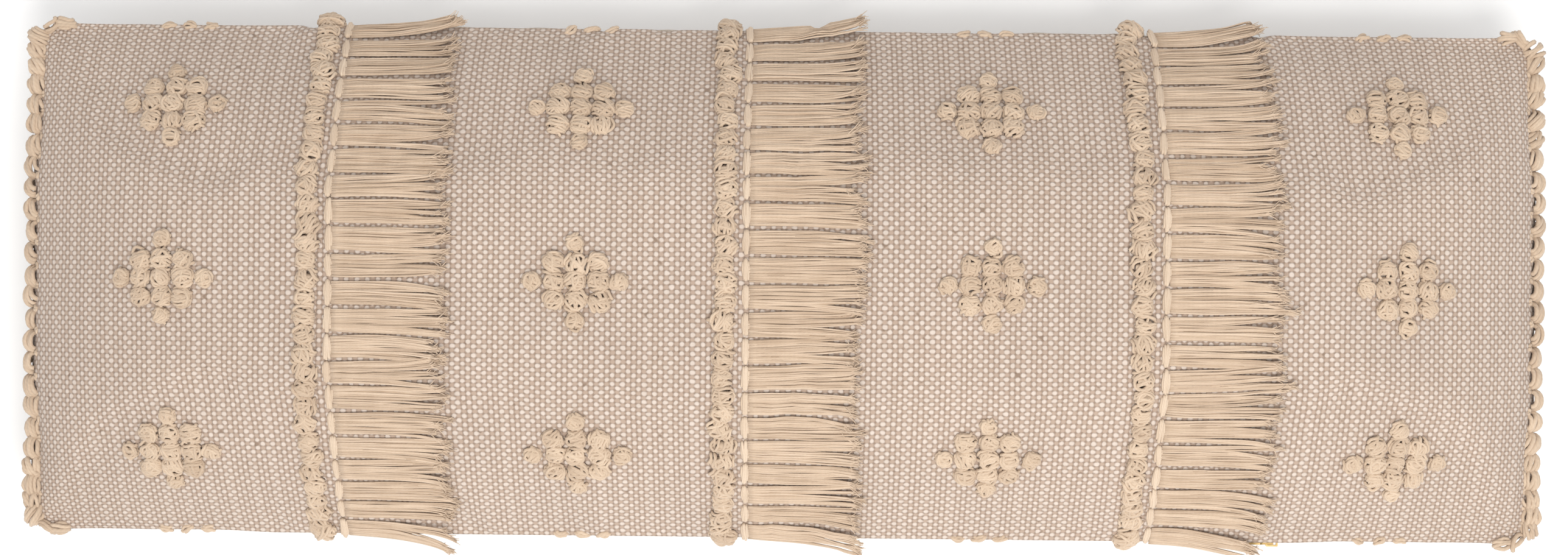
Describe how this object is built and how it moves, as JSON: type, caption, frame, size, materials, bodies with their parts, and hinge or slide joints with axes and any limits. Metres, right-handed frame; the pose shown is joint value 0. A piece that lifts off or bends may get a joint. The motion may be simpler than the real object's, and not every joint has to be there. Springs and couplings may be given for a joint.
{
  "type": "throw pillow",
  "caption": "Long lumbar throw pillow with a dotted taupe weave, diamonds of yarn tufts, three fringed bands, looped end trim and a zipper in the long seam.",
  "frame": {"origin": "centre of the footprint, on the surface that the pillow's back rests on", "axes": "+X along the pillow's length, +Y across its width away from the zipper, +Z out of the front panel"},
  "size_m": [0.8834, 0.3022, 0.1172],
  "materials": {
    "dotted_weave": "matte",
    "back_canvas": "matte",
    "casing_cotton": "matte",
    "fibre_wadding": "matte",
    "trim_yarn": "matte",
    "zipper_tape": "matte",
    "zipper_coil": "satin",
    "zipper_metal": "satin"
  },
  "bodies": {
    "root": {"cover_back": "back_canvas", "cover_front": "dotted_weave", "end_braid_left": "trim_yarn", "end_braid_right": "trim_yarn", "fibre_fill": "fibre_wadding", "fringe_band_centre": "trim_yarn", "fringe_band_left": "trim_yarn", "fringe_band_right": "trim_yarn", "fringe_header_centre": "trim_yarn", "fringe_header_left": "trim_yarn", "fringe_header_right": "trim_yarn", "insert_back_panel": "casing_cotton", "insert_front_panel": "casing_cotton", "loop_ridge_centre": "trim_yarn", "loop_ridge_left": "trim_yarn", "loop_ridge_right": "trim_yarn", "seam_tufts_lower": "trim_yarn", "seam_tufts_upper": "trim_yarn", "tuft_diamond_r1c1": "trim_yarn", "tuft_diamond_r1c2": "trim_yarn", "tuft_diamond_r1c3": "trim_yarn", "tuft_diamond_r1c4": "trim_yarn", "tuft_diamond_r2c1": "trim_yarn", "tuft_diamond_r2c2": "trim_yarn", "tuft_diamond_r2c3": "trim_yarn", "tuft_diamond_r2c4": "trim_yarn", "tuft_diamond_r3c1": "trim_yarn", "tuft_diamond_r3c2": "trim_yarn", "tuft_diamond_r3c3": "trim_yarn", "tuft_diamond_r3c4": "trim_yarn", "zipper_bottom_stop": "zipper_metal", "zipper_coil_lower": "zipper_coil", "zipper_coil_upper": "zipper_coil", "zipper_tape_lower": "zipper_tape", "zipper_tape_upper": "zipper_tape", "zipper_top_stops": "zipper_metal"},
    "slider": {"zipper_slider": "zipper_metal"},
    "pull": {"zipper_pull": "zipper_metal"}
  },
  "joints": [
    {"name": "zipper_slide", "type": "slide", "parent": "root", "child": "slider", "axis": [-1, 0, 0], "range_m": [0, 0.576]},
    {"name": "pull_swing", "type": "hinge", "parent": "slider", "child": "pull", "pos_m": [0.2881, -0.1496, 0.047], "axis": [0, 0, 1], "range_deg": [0, 170]}
  ]
}
